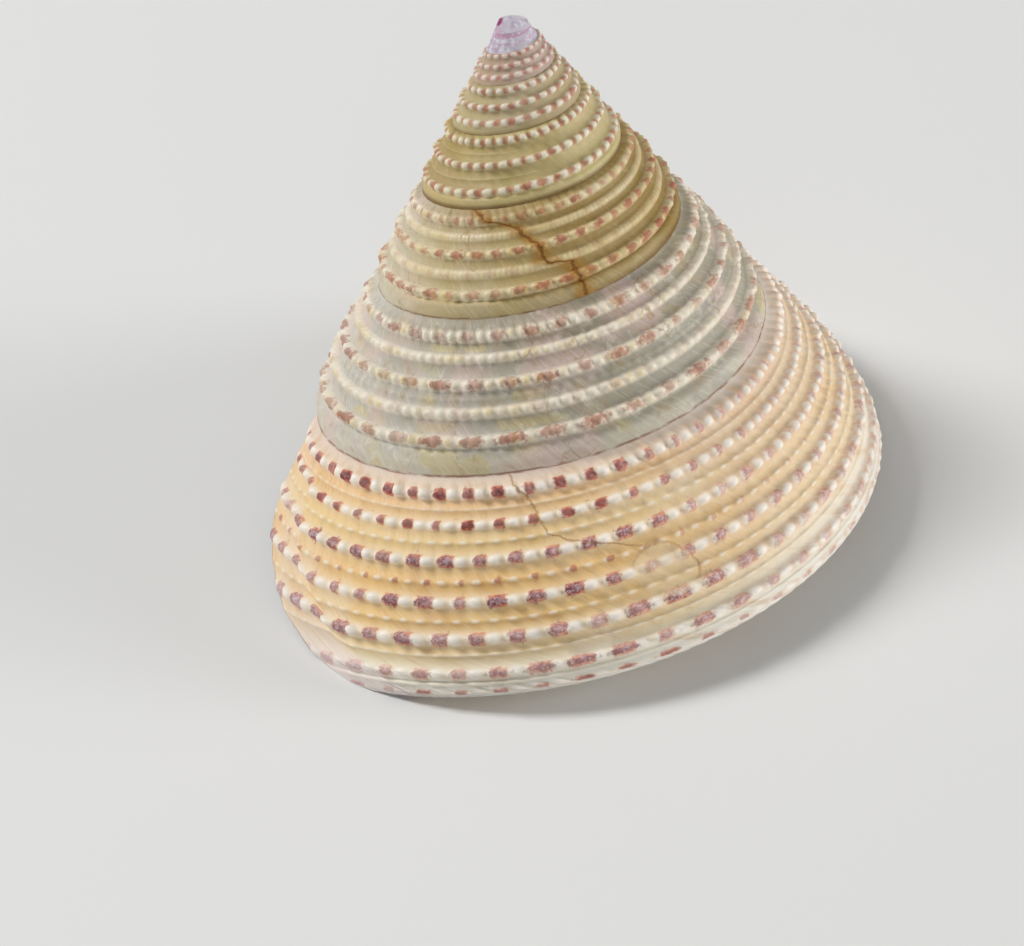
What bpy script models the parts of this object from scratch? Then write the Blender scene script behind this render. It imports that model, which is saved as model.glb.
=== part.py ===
# A beaded top shell: one hollow piece, coiled to the right, lying on its base with its mouth open.
# A turn is one whorl, counted from the nucleus at the tip. Every seam between whorls, and the body
# whorl's outer edge after them, lies on one widening spiral. A whorl's side hangs between that
# spiral at its own turn and the same spiral one turn later.

import math

import bmesh
import bpy
from mathutils import Matrix, Vector

# Driving dimensions, in metres and turns
EDGE_TURN = 9.0             # the turn at which the spiral's size is given
EDGE_RADIUS = 0.0137        # its radius there, on the body whorl's edge
GROWTH = 0.387              # natural log of its growth in one turn, there
GROWTH_EASING = 0.0089      # what each earlier turn adds to that
SPIRE_HEIGHT = 1.61         # its depth below the apex over its radius, there
SPIRE_EASING = 0.018        # what each earlier turn adds to that

FIRST_TURN = 0.85           # where the nucleus begins
LIP_TURN = 8.1              # where the lip crosses the body whorl's edge
LIP_SLANT = 1 / 6           # how far the lip runs ahead at the seam, in turns
LIP_TRAIL = 0.04            # how far it falls back in the middle of the base, in turns
ROOF_BOW = 0.03             # how far the mouth reaches the other way there, on the whorl before
CAVITY_TURNS = 2.5          # how far the hollow is open inwards from the lip
MOUTH_TURN = 8.19           # the turn that faces +X, in the middle of the mouth

# Shares of the radius at a whorl's edge
SIDE_SWELL = 0.032          # how far a whorl's side stands out between its seams
BASE_RISE = 0.18            # how far the base rises from its edge to the axis
BASE_SAG = 0.03             # how far it is rounded below that line
WALL = 0.042
LIP_WALL = 0.022
COLUMELLA = 0.10

# How the shell lies: its axis leans by LEAN towards the direction LEAN_TO, measured from +X
LEAN = math.radians(10.2)
LEAN_TO = math.radians(-116.0)

# Mesh density
STEPS = 36                  # rows in a turn
SIDE_BANDS = 6
BASE_BANDS = 8
WELD = 1e-6

SLANT_STEPS = round(LIP_SLANT * STEPS)
FIRST_ROW = round((FIRST_TURN - LIP_TURN) * STEPS)
NACRE_CREAM = (0.80, 0.66, 0.44, 1.0)


def spiral(turn):
    """Radius and depth below the apex, on the spiral that carries the seams."""
    past = turn - EDGE_TURN
    radius = EDGE_RADIUS * math.exp(GROWTH * past - GROWTH_EASING * past * past)
    return radius, radius * (SPIRE_HEIGHT - SPIRE_EASING * past)


def place(turn, radius, height):
    angle = 2 * math.pi * (MOUTH_TURN - turn)
    return Vector((radius * math.cos(angle), radius * math.sin(angle), height))


def row_turn(row):
    """Row 0 is the lip, and rows before it are negative."""
    return LIP_TURN + row / STEPS


def slanted(row, across):
    """The turn reached by a growth line, which runs ahead at the seam and trails at the edge."""
    return row_turn(row) + LIP_SLANT * (1 - across)


def side(turn, across):
    """Radius and height on a whorl's side, from the seam above (0) to its edge (1)."""
    near, near_depth = spiral(turn)
    far, far_depth = spiral(turn + 1)
    out = Vector((far_depth - near_depth, far - near)).normalized()
    swell = SIDE_SWELL * far * math.sin(math.pi * across)
    radius = near + (far - near) * across + swell * out.x
    height = -near_depth - (far_depth - near_depth) * across + swell * out.y
    return radius, height


def base_height(turn, share):
    """Height of the base at a share of its radius, from the axis (0) to the edge (1)."""
    edge, depth = spiral(turn + 1)
    return edge * (BASE_RISE * (1 - share) - BASE_SAG * math.sin(math.pi * share)) - depth


def pillar_pull(share):
    """How far a surface is drawn down along the columella: fully on the axis, hardly at the edge."""
    return (1 - share) ** 6


def base_share(band):
    """Bands lie closer together towards the columella."""
    return (1 - band / BASE_BANDS) ** 1.5


def side_point(row, band):
    turn = slanted(row, band / SIDE_BANDS)
    return place(turn, *side(turn, band / SIDE_BANDS))


def base_point(row, band):
    """The base, whose rows bend from the mouth's inner edge round to the lip."""
    share = base_share(band)
    to_inner_edge = row / (SLANT_STEPS - STEPS)
    bend = ROOF_BOW * to_inner_edge - LIP_TRAIL * (1 - to_inner_edge)
    turn = row_turn(row) + bend * math.sin(math.pi * share)
    fall = base_height(turn, 0) - base_height(LIP_TURN, 0)
    height = base_height(turn, share) - fall * pillar_pull(share)
    return place(turn, share * spiral(turn + 1)[0], height)


def cavity_corners(turn, wall):
    """The hollow's corner under the seam, and its corner inside the edge."""
    near, near_depth = spiral(turn)
    far, far_depth = spiral(turn + 1)
    out = Vector((far_depth - near_depth, far - near)).normalized()
    thick = wall * far
    under_seam = Vector((near, -near_depth)) - thick * out
    in_edge = far - 1.5 * thick
    return under_seam, Vector((in_edge, base_height(turn, in_edge / far) + thick))


def cavity_side(row, band, wall):
    across = band / SIDE_BANDS
    turn = slanted(row, across)
    top, bottom = cavity_corners(turn, wall)
    run = bottom - top
    out = Vector((-run.y, run.x)).normalized()
    swell = SIDE_SWELL * spiral(turn + 1)[0] * math.sin(math.pi * across)
    point = top + run * across + swell * out
    return place(turn, point.x, point.y)


def cavity_floor(row, band, wall):
    turn = row_turn(row) - LIP_TRAIL * math.sin(math.pi * base_share(band))
    edge = spiral(turn + 1)[0]
    corner = cavity_corners(turn, wall)[1].x
    pillar = COLUMELLA * edge
    radius = pillar + (corner - pillar) * base_share(band)
    return place(turn, radius, base_height(turn, radius / edge) + wall * edge)


def cavity_roof(row, band, wall):
    """Up the columella and out under the whorl before, which closes the hollow from above."""
    rise = (band / BASE_BANDS) ** 1.5
    turn = row_turn(row) + LIP_SLANT + ROOF_BOW * math.sin(math.pi * rise)
    roof_edge = spiral(turn)[0]
    floor_edge = spiral(row_turn(row) + 1)[0]
    pillar = COLUMELLA * floor_edge
    corner = cavity_corners(turn, wall)[0]
    radius = pillar + (corner.x - pillar) * rise
    roof = base_height(turn - 1, radius / roof_edge)
    gap = base_height(turn - 1, corner.x / roof_edge) - corner.y
    foot = base_height(row_turn(row), COLUMELLA) + wall * floor_edge
    pull = pillar_pull((radius - pillar) / (roof_edge - pillar))
    return place(turn, radius, roof - gap - (roof - gap - foot) * pull)


def cavity_ring(row, column, wall):
    """One ring of the hollow: side, floor and roof, ending where it starts."""
    if column <= SIDE_BANDS:
        return cavity_side(row, column, wall)
    if column <= SIDE_BANDS + BASE_BANDS:
        return cavity_floor(row, column - SIDE_BANDS, wall)
    if column < SIDE_BANDS + 2 * BASE_BANDS:
        return cavity_roof(row, column - SIDE_BANDS - BASE_BANDS, wall)
    return cavity_side(row, 0, wall)


def mouth_edge(column):
    """The ring on which the outside ends: the lip, then back along the whorl before."""
    if column <= SIDE_BANDS:
        return side_point(0, column)
    if column <= SIDE_BANDS + BASE_BANDS:
        return base_point(0, column - SIDE_BANDS)
    return base_point(SLANT_STEPS - STEPS, SIDE_BANDS + 2 * BASE_BANDS - column)


def hollow_point(row, column):
    """Row 0 is the mouth's edge, row 1 its inner edge, and later rows go inwards."""
    if row == 0:
        return mouth_edge(column)
    if row == 1:
        return cavity_ring(0, column, LIP_WALL)
    return cavity_ring(1 - row, column, WALL)


def add_sheet(bm, rows, columns, point_at):
    """A grid of rows by columns, with each vertex put where point_at(row, column) says."""
    grid = bmesh.ops.create_grid(bm, x_segments=rows, y_segments=columns, size=0.5)
    for vertex in grid["verts"]:
        row = round((vertex.co.x + 0.5) * rows)
        column = round((vertex.co.y + 0.5) * columns)
        vertex.co = point_at(row, column)


def close_ends(bm):
    """Closes the nucleus with a dome and the hollow's inner end with a shallow cup."""
    open_edges = [edge for edge in bm.edges if edge.is_boundary]
    caps = bmesh.ops.holes_fill(bm, edges=open_edges)["faces"]
    centres = bmesh.ops.poke(bm, faces=caps)["verts"]
    tip = max(centres, key=lambda vertex: vertex.co.z)
    radius, depth = spiral(FIRST_TURN + LIP_SLANT)
    tip.co = Vector((0, 0, 0.35 * radius - depth))


def lay_down(bm):
    """Leans the axis, then puts the middle of the underside on the origin."""
    across = Vector((-math.sin(LEAN_TO), math.cos(LEAN_TO), 0))
    bmesh.ops.rotate(bm, verts=bm.verts, matrix=Matrix.Rotation(LEAN, 3, across))
    low = Vector([min(vertex.co[i] for vertex in bm.verts) for i in range(3)])
    high = Vector([max(vertex.co[i] for vertex in bm.verts) for i in range(3)])
    middle = (low + high) / 2
    bmesh.ops.translate(bm, verts=bm.verts, vec=-Vector((middle.x, middle.y, low.z)))


def shell_mesh():
    bm = bmesh.new()
    side_rows = -FIRST_ROW
    add_sheet(bm, side_rows, SIDE_BANDS, lambda row, band: side_point(row - side_rows, band))
    base_rows = STEPS - SLANT_STEPS
    add_sheet(bm, base_rows, BASE_BANDS, lambda row, band: base_point(row - base_rows, band))
    hollow_rows = round(CAVITY_TURNS * STEPS)
    add_sheet(bm, hollow_rows, SIDE_BANDS + 2 * BASE_BANDS, hollow_point)
    bmesh.ops.remove_doubles(bm, verts=bm.verts, dist=WELD)
    close_ends(bm)
    bmesh.ops.recalc_face_normals(bm, faces=bm.faces)
    lay_down(bm)
    mesh = bpy.data.meshes.new("shell")
    bm.to_mesh(mesh)
    bm.free()
    mesh.shade_smooth()
    return mesh


def shell_material():
    material = bpy.data.materials.new("shell")
    material.use_nodes = True
    shader = material.node_tree.nodes["Principled BSDF"]
    shader.inputs["Base Color"].default_value = NACRE_CREAM
    shader.inputs["Roughness"].default_value = 0.38
    shader.inputs["Metallic"].default_value = 0.0
    return material


def main():
    for old in list(bpy.data.objects):
        bpy.data.objects.remove(old, do_unlink=True)
    collection = bpy.data.collections.new("top_shell")
    bpy.context.scene.collection.children.link(collection)
    shell = bpy.data.objects.new("shell", shell_mesh())
    shell.data.materials.append(shell_material())
    collection.objects.link(shell)


main()
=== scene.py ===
import functools
import math
from types import SimpleNamespace

import bmesh
import bpy
from mathutils import Matrix, Vector, noise


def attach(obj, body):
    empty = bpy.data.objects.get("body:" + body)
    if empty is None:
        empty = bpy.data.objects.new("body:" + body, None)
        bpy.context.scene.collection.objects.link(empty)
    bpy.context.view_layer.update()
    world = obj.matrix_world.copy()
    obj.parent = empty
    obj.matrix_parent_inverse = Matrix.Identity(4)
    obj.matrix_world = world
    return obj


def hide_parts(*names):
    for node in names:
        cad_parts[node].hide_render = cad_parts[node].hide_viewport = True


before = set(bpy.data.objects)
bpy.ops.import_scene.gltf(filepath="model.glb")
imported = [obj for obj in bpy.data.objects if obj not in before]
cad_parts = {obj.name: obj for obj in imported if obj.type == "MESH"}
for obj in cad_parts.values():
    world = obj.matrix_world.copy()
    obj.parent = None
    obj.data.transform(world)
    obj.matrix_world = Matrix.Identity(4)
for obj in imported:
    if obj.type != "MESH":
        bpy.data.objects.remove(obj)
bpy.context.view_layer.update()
print("frame loaded")

# The coil. A turn is one whorl, and every seam lies on one widening spiral.
coil = {
    "edgeTurn": 9.0,            # the turn at which the spiral's size is given
    "edgeRadius": 0.0137,       # metres
    "growth": 0.387,            # natural log of the growth in a turn
    "growthEasing": 0.0089,
    "depth": 1.61,              # depth below the apex over the radius
    "depthEasing": 0.018,
    "wornTip": 0.00050,         # metres worn off the apex
    "tipRadius": 0.00046,       # metres, so that the worn tip is a round knob
    "tipTurn": 0.85 + 1 / 6,    # the CAD tip: the turn that it closes, and its rise over that radius
    "tipRise": 0.35,
    "mouthTurn": 8.19,          # the turn that faces +X
    "lipTurn": 8.1,
    "lipSlant": 1 / 6,          # turns that the lip runs ahead at the seam
    "lipTrail": 0.04,           # turns that it falls back under the base
    "lipBow": 0.046,            # turns that it stands forward in the middle of the side
    "roofBow": 0.03,
    "sideSwell": 0.032,         # shares of the radius at a whorl's edge, down to the columella
    "baseRise": 0.18,
    "baseSag": 0.03,
    "wall": 0.042,
    "lipWall": 0.022,
    "wallRun": 0.15,            # turns inwards over which the wall thickens
    "rim": 0.006,               # turns between the mouth's edge and the first ring inside it
    "columella": 0.10,
    "lean": math.radians(10.2),
    "leanTo": math.radians(-116.0),
}

# The mesh. Columns follow the growth lines, which run ahead at the seam.
mesh = {
    "slant": 56 / 624,          # turns that a column runs ahead at the seam
    "fanStart": 7.6,            # from here the columns swing round to the lip
    "zones": (195 / 156, 4.25, 6.25, 7.25, 5102 / 624),
    "columns": (156, 312, 624, 624),    # in a turn, in each zone
    "baseColumns": 312,
    "weld": 1e-6,
}
lipColumn = mesh["zones"][-1]
innerEdge = lipColumn - 1 + mesh["slant"]   # the column of the whorl before, under the mouth

# Where each cord runs down a whorl's side, at turns 3 to 8, as shares of the side's height.
# 1, 3, 5, 7, 9 and 11 are the main cords, the even ones are threads, and 14 is the whorl's edge.
cordPlaces = (
    (0, 0, 0, 0, 0, 0),
    (0.08, 0.13, 0.10, 0.11, 0.12, 0.08),
    (0.24, 0.27, 0.215, 0.19, 0.20, 0.15),
    (0.26, 0.2875, 0.26, 0.26, 0.26, 0.22),
    (0.28, 0.305, 0.305, 0.33, 0.345, 0.2975),
    (0.42, 0.45, 0.42, 0.42, 0.43, 0.38),
    (0.57, 0.58, 0.55, 0.51, 0.525, 0.475),
    (0.59, 0.60, 0.60, 0.60, 0.61, 0.565),
    (0.61, 0.62, 0.65, 0.69, 0.70, 0.65),
    (0.75, 0.77, 0.78, 0.79, 0.79, 0.73),
    (0.87, 0.875, 0.86, 0.85, 0.852, 0.80),
    (0.90, 0.905, 0.905, 0.90, 0.90, 0.885),
    (0.985, 0.985, 0.98, 0.97, 0.962, 0.93),
    (0.995, 0.995, 0.993, 0.99, 0.98, 0.966),
    (1, 1, 1, 1, 1, 1),
)
lastCord = 14
threads = (2, 4, 6, 8, 10, 12, 13)
cordReach = 0.4                 # a cord's edges, in cord coordinates from its middle

# How far each cord stands out at turns 3 to 8, in millimetres
cordHeights = {
    1: (0.10, 0.15, 0.19, 0.20, 0.23, 0.27),
    2: (0, 0, 0, 0, 0, 0.045),
    3: (0, 0, 0, 0.09, 0.16, 0.18),
    4: (0, 0, 0, 0, 0, 0.07),
    5: (0.10, 0.15, 0.19, 0.20, 0.23, 0.25),
    6: (0, 0, 0, 0, 0.06, 0.09),
    7: (0, 0, 0, 0.10, 0.19, 0.23),
    8: (0, 0, 0, 0, 0, 0.07),
    9: (0.10, 0.15, 0.20, 0.22, 0.26, 0.28),
    10: (0, 0, 0, 0, 0, 0.05),
    11: (0.03, 0.06, 0.10, 0.13, 0.16, 0.20),
    12: (0, 0, 0, 0.04, 0.07, 0.06),
    13: (0, 0, 0, 0, 0, 0.10),
}
mainWidth = (0.098, 0.083, 0.064, 0.048, 0.042, 0.029)    # half a main cord's width, turns 3 to 8
cordWidths = {                  # the others' widths beside that
    1: 1, 2: 0.4, 3: 0.85, 4: 0.42, 5: 1, 6: 0.5, 7: 1,
    8: 0.42, 9: 1.1, 10: 0.38, 11: 1, 12: 0.4, 13: 0.5,
}
cordBeads = {                   # how deep the gaps between beads are, as a share of the cord's height
    1: 0.7, 2: 0.5, 3: 0.72, 4: 0.75, 5: 0.7, 6: 0.75, 7: 0.62,
    8: 0.7, 9: 0.55, 10: 0.5, 11: 0.35, 12: 0.3, 13: 0.5,
}

beads = {
    "changes": (3.5, 4.5, 5.5, 6.25, 7.25 + 25 / 104),  # columns at which the counts change
    "counts": (19.5, 26, 39, 78, 104, 104),             # beads in a turn
    "spotCounts": (19.5, 26, 39, 39, 104 / 3, 52),      # coloured spots in a turn
    "start": 7.25,              # the column at which the beads are counted from nought
    "spotStart": -196 / 3,      # and the spots there
    "setBack": 0.00006,         # metres that the ground between the cords is set back
    "unevenness": 0.00003,      # metres, on a noise of unevenScale
    "unevenScale": 900,
    "scallop": 0.00006,         # metres that the beads scallop the body whorl's edge
    "edgeTuck": 0.00016,        # metres that the edge is tucked in
    "variety": 0.3,             # how much higher one bead may be than the next
    "boldness": 1.2,            # times the cord heights above
    "fineCords": (3, 7),        # these have twice as many beads from this column to the next change
    "fineFrom": 5.5,
    "upright": 0.72,            # how far the first cord's beads stand upright, not along the growth lines
    "scar": 0.048,              # turns before the lip at which growth once stopped
    "scarShift": 0.035,         # how far the cords start again above where they stopped
    "worn": ((5.62, 6.0, 0.5), (6.5, 7.0, 0.45)),    # turns with beads worn into ridges, and how far
}

baseCords = {                   # shares of the base's radius, and metres
    "first": 0.93,
    "step": 0.065,
    "count": 10,
    "height": 0.00013,
    "gaps": 0.35,               # how deep the gaps between beads are
}


def ease(low, high, value):
    share = min(1.0, max(0.0, (value - low) / (high - low)))
    return share * share * (3 - 2 * share)


def mix(a, b, share):
    return a + (b - a) * share


def atTurn(values, turn):
    place = min(4.9999, max(0.0, turn - 3))
    step = int(place)
    return mix(values[step], values[step + 1], place - step)


def countTo(column, counts, atStart):     # beads or spots from the start to this column
    total = atStart
    edges = (-1,) + beads["changes"] + (10,)
    for low, high, count in zip(edges, edges[1:], counts):
        total += (min(high, max(low, column)) - min(high, max(low, beads["start"]))) * count
    return total


def beadPhase(column):
    return countTo(column, beads["counts"], 0)


def spotPhase(column):
    return countTo(column, beads["spotCounts"], beads["spotStart"])


def freshSpiral(turn):          # radius, and depth below the apex
    past = turn - coil["edgeTurn"]
    radius = coil["edgeRadius"] * math.exp(coil["growth"] * past - coil["growthEasing"] * past * past)
    return radius, radius * (coil["depth"] - coil["depthEasing"] * past)


def spiral(turn):               # the same with the apex worn down to a knob
    radius, depth = freshSpiral(turn)
    radius = (radius ** 3 + coil["tipRadius"] ** 3) ** (1 / 3)
    return radius, (depth ** 3 + coil["wornTip"] ** 3) ** (1 / 3)


def place(turn, radius, height):
    angle = 2 * math.pi * (coil["mouthTurn"] - turn)
    return Vector((radius * math.cos(angle), radius * math.sin(angle), height))


def countIn(column, counts):    # beads or spots in a turn here
    return counts[sum(1 for change in beads["changes"] if column >= change)]


def cordWidth(turn, cord):      # half a cord's width, as a share of the side's height
    width = atTurn(mainWidth, turn) * cordWidths[cord]
    if cord in (3, 7):
        width *= mix(0.15, 1, ease(5.1, 5.6, turn))
    if cord == 11:
        width *= mix(1.1, 1, ease(7.2, 7.5, turn))
    if cord in threads:
        width *= mix(0.5, 1, ease(5.8, 6.3, turn))
    return width


def wornAt(turn):               # how far the beads are worn down into plain ridges
    worn = 0
    for low, high, share in beads["worn"]:
        worn += share * ease(low, low + 0.1, turn) * ease(high, high - 0.1, turn)
    return worn


@functools.lru_cache(maxsize=None)
def columnFacts(column):        # what is the same all the way down a column
    turn = column + mesh["slant"] / 2
    phase = beadPhase(column)
    worn = ease(2.4, 2.7, turn)
    body = ease(7.2, 7.5, turn)
    scar = ease(0, 0.006, column - (lipColumn - beads["scar"]))
    edge = edgeTurnOf(column)
    inFineBeads = beads["fineFrom"] <= column < beads["changes"][3]
    cords = []
    knots = [(0, 0)]
    for cord, heights in cordHeights.items():
        centre = atTurn(cordPlaces[cord], turn) - (beads["scarShift"] * scar if 2 < cord < 11 else 0)
        width = cordWidth(turn, cord)
        ends = (centre - min(width, centre * 0.9), centre, centre + width)
        for step, end in zip((-cordReach, 0, cordReach), ends):
            knots.append((cord + step, max(end, knots[-1][1] + 0.001)))
        height = atTurn(heights, turn) * 0.001 * worn * beads["boldness"]
        if height == 0:
            continue
        above = min(centre * 0.95, width * 1.5) if cord == 1 else width
        share = cordBeads[cord] * (body if cord == 11 else 1) * (1 - wornAt(turn))
        wobble = 1 + beads["variety"] * noise.cell(Vector((math.floor(phase) + 0.5, cord + 0.5, 0.5)))
        finer = 2 if cord in beads["fineCords"] and inFineBeads else 1
        cords.append((cord, centre, above, width, height * wobble, share, finer))
    return {
        "knots": knots + [(lastCord, 1)],
        "centres": [atTurn(places, turn) for places in cordPlaces],
        "phase": phase,
        "spotPhase": spotPhase(column),
        "beadCount": countIn(column, beads["counts"]),
        "spotCount": countIn(column, beads["spotCounts"]),
        "slant": column + mesh["slant"] - edge,     # turns that this column itself runs ahead at the seam
        "cords": cords,
        "scar": scar,
        "thin": ease(0, 0.025, lipColumn - column),     # cords run out at the lip itself
        "free": ease(7.27, 7.4, column),    # 1 where the edge isn't covered by the next whorl
        "edgeTurn": edge,
        "bow": coil["lipBow"] * ease(mesh["fanStart"], lipColumn, column),
    }


def acrossAt(column, cord):     # share of the side's height at a cord coordinate
    knots = columnFacts(column)["knots"]
    step = 1
    while knots[step][0] < cord:
        step += 1
    (low, start), (high, end) = knots[step - 1], knots[step]
    return mix(start, end, (cord - low) / (high - low))


def edgeTurnOf(column):         # the turn that a column reaches on the whorl's edge
    start = mesh["fanStart"]
    past = max(0.0, column - start)
    return column - past + past * (coil["lipTurn"] - start) / (lipColumn - start)


def sideProfile(turn, across):  # radius, height and outward direction on a whorl's side
    near, nearDepth = spiral(turn)
    far, farDepth = spiral(turn + 1)
    out = Vector((farDepth - nearDepth, far - near)).normalized()
    swell = coil["sideSwell"] * far * math.sin(math.pi * across)
    return Vector((mix(near, far, across), -mix(nearDepth, farDepth, across))) + swell * out, out


def bowAt(across):              # how far the lip has bowed forward, from the seam to the edge
    return ease(0, 0.55, across) * min(1, max(0, (1 - across) / 0.22)) ** 0.4


def beadShape(phase, share):    # 1 on top of a bead, 1 - share between beads
    return 1 - share + share * (0.5 - 0.5 * math.cos(2 * math.pi * phase)) ** 0.5


def leaned(facts, cord, across):    # turns that a bead is moved along its cord, to stand more upright
    centre = facts["centres"][1 if cord < 3 else 9]
    moved = facts["slant"] * (centre - across) + facts["bow"] * (bowAt(across) - bowAt(centre))
    return moved * (beads["upright"] if cord < 3 else 1)


def cordLift(facts, across):    # how far the cords raise the side, and how high on the cord, 0 to 1
    lift = 0.0
    relief = 0.0
    for cord, centre, above, width, height, share, finer in facts["cords"]:
        off = (across - centre) / (above if across < centre else width)
        if abs(off) >= 1:
            continue
        beadAt = facts["phase"] + facts["beadCount"] * leaned(facts, cord, across)
        rise = (1 - off * off) ** 0.6 * beadShape(beadAt * finer, share)
        lift += height * rise
        relief = max(relief, rise)
    return lift, relief


def sidePoint(column, cord):
    facts = columnFacts(column)
    across = acrossAt(column, cord)
    turn = mix(column + mesh["slant"], facts["edgeTurn"], across)
    turn += facts["bow"] * bowAt(across)
    profile, out = sideProfile(turn, across)
    lift, relief = cordLift(facts, across)
    fromSeams = math.sin(math.pi * across) ** 0.5 if 0 < across < 1 else 0
    lift = lift * (0.3 + 0.7 * facts["thin"]) - beads["setBack"] * fromSeams * (1 + facts["scar"])
    rough = noise.noise(place(turn, profile.x, profile.y) * beads["unevenScale"])
    lift += beads["unevenness"] * rough * fromSeams
    if cord > lastCord - 0.5:
        scallop = beads["scallop"] * beadShape(facts["phase"], 1) - beads["edgeTuck"]
        lift = mix(lift, scallop * (cord - lastCord + 1), facts["free"])
    down = Vector((0.0, -1.0))
    out = out.lerp((out + down).normalized(), ease(0.95, 1, across) * facts["free"])
    profile = profile + lift * out
    return place(turn, profile.x, profile.y), relief


def baseHeight(turn, share):
    edge, depth = spiral(turn + 1)
    return edge * (coil["baseRise"] * (1 - share) - coil["baseSag"] * math.sin(math.pi * share)) - depth


def pillarPull(share):          # how far the base is drawn down along the columella
    return (1 - share) ** 6


def basePoint(column, share):
    if share == 1:
        return sidePoint(column, lastCord)
    start = edgeTurnOf(column)
    toInner = (coil["lipTurn"] - start) / (coil["lipTurn"] - innerEdge)
    bend = coil["roofBow"] * toInner - coil["lipTrail"] * (1 - toInner)
    turn = start + bend * math.sin(math.pi * share)
    fall = baseHeight(turn, 0) - baseHeight(coil["lipTurn"], 0)
    height = baseHeight(turn, share) - fall * pillarPull(share)
    cordAt = (baseCords["first"] - share) / baseCords["step"]
    rise = 0.0
    if -0.5 <= cordAt <= baseCords["count"] - 0.5:
        rise = 0.5 + 0.5 * math.cos(2 * math.pi * cordAt)
        rise *= beadShape(beadPhase(column), baseCords["gaps"])
    lift = baseCords["height"] * (rise - 0.5) * ease(0.1, 0.3, share) * ease(0, 0.02, 1 - share)
    return place(turn, share * spiral(turn + 1)[0], height - lift), rise


def hollowCorners(turn, wall):  # the hollow's corner under the seam, and its corner inside the edge
    near, nearDepth = spiral(turn)
    far, farDepth = spiral(turn + 1)
    out = Vector((farDepth - nearDepth, far - near)).normalized()
    thick = wall * far
    inEdge = far - 1.5 * thick
    corner = Vector((inEdge, baseHeight(turn, inEdge / far) + thick))
    return Vector((near, -nearDepth)) - thick * out, corner


def hollowSide(start, across, wall):
    turn = start + coil["lipSlant"] * (1 - across)
    turn += coil["lipBow"] * bowAt(across) * ease(-0.5, 0, start - coil["lipTurn"])
    top, bottom = hollowCorners(turn, wall)
    run = bottom - top
    out = Vector((-run.y, run.x)).normalized()
    swell = coil["sideSwell"] * spiral(turn + 1)[0] * math.sin(math.pi * across)
    point = top + run * across + swell * out
    return place(turn, point.x, point.y)


def hollowFloor(start, share, wall):
    turn = start - coil["lipTrail"] * math.sin(math.pi * share)
    edge = spiral(turn + 1)[0]
    corner = hollowCorners(turn, wall)[1].x
    pillar = coil["columella"] * edge
    radius = pillar + (corner - pillar) * share
    return place(turn, radius, baseHeight(turn, radius / edge) + wall * edge)


def hollowRoof(start, rise, wall):      # up the columella and out under the whorl before
    turn = start + coil["lipSlant"] + coil["roofBow"] * math.sin(math.pi * rise)
    roofEdge = spiral(turn)[0]
    floorEdge = spiral(start + 1)[0]
    pillar = coil["columella"] * floorEdge
    corner = hollowCorners(turn, wall)[0]
    radius = pillar + (corner.x - pillar) * rise
    roof = baseHeight(turn - 1, radius / roofEdge)
    gap = baseHeight(turn - 1, corner.x / roofEdge) - corner.y
    foot = baseHeight(start, coil["columella"]) + wall * floorEdge
    pull = pillarPull((radius - pillar) / (roofEdge - pillar))
    return place(turn, radius, roof - gap - (roof - gap - foot) * pull)


# The rows of each zone, as cord coordinates. Each zone's rows are among the next one's.
def rowsOn(cords):              # five rows on each of these cords
    return [cord + share * cordReach for cord in cords for share in (-1, -0.5, 0, 0.5, 1)]


zoneRows = (
    sorted([0, lastCord] + rowsOn((1, 5, 9)) + [3, 7, 11]),
    sorted([0, lastCord] + rowsOn((1, 3, 5, 7, 9)) + [10, 11]),
    sorted([0, 0.3, lastCord] + rowsOn((1, 3, 5, 7, 9)) + [2, 4, 5.8, 6, 6.2, 8, 10, 11, 12]),
    sorted([0, 0.3, 13, lastCord - 0.3, lastCord] + rowsOn(range(1, 13))),
)
baseShares = [baseCords["first"] + baseCords["step"] * (0.5 - step / 2) for step in range(1, 21)]
baseShares = [1, 0.98] + [share for share in baseShares if share > 0.31]
baseShares += [0.29, 0.24, 0.19, 0.14, 0.1, 0.07, 0.04, 0.02, 0]
hollowStarts = [0, -coil["rim"], -0.015, -0.03, -0.05, -0.08]   # turns inwards from the lip
hollowStarts += [-0.12 - 0.08 * step for step in range(14)]

onSide, onBase, onHollow = 0, 1, 2      # which sheet a point belongs to


# The hollow's ring: down inside the side, in along the floor, and back out under the roof.
ring = [("side", cord) for cord in zoneRows[-1]]
ring += [("floor", share) for share in baseShares[1:]]
ring += [("roof", share) for share in reversed(baseShares[:-1])]


def hollowPoint(start, index):
    part, value = ring[index]
    if start == 0:                      # the mouth's edge, where the outside ends
        if part == "side":
            return sidePoint(lipColumn, value)[0], 0
        return basePoint(lipColumn if part == "floor" else innerEdge, value)[0], 0
    wall = mix(coil["lipWall"], coil["wall"], ease(0, coil["wallRun"], -start))
    turn = coil["lipTurn"] + start + coil["rim"]
    if part == "side":
        return hollowSide(turn, min(1, acrossAt(lipColumn, value)), wall), 0
    if part == "floor":
        return hollowFloor(turn, value, wall), 0
    if value == 1:
        return hollowSide(turn, 0, wall), 0
    return hollowRoof(turn, value, wall), 0


def addSheet(bm, layers, columns, rows, kind, placeAt):
    grid = bmesh.ops.create_grid(bm, x_segments=len(columns) - 1, y_segments=len(rows) - 1, size=0.5)
    for vertex in grid["verts"]:
        column = columns[round((vertex.co.x + 0.5) * (len(columns) - 1))]
        row = rows[round((vertex.co.y + 0.5) * (len(rows) - 1))]
        vertex[layers["place"]] = (column, row, kind)
        vertex.co, vertex[layers["relief"]] = placeAt(column, row)
    return grid["verts"]


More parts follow.
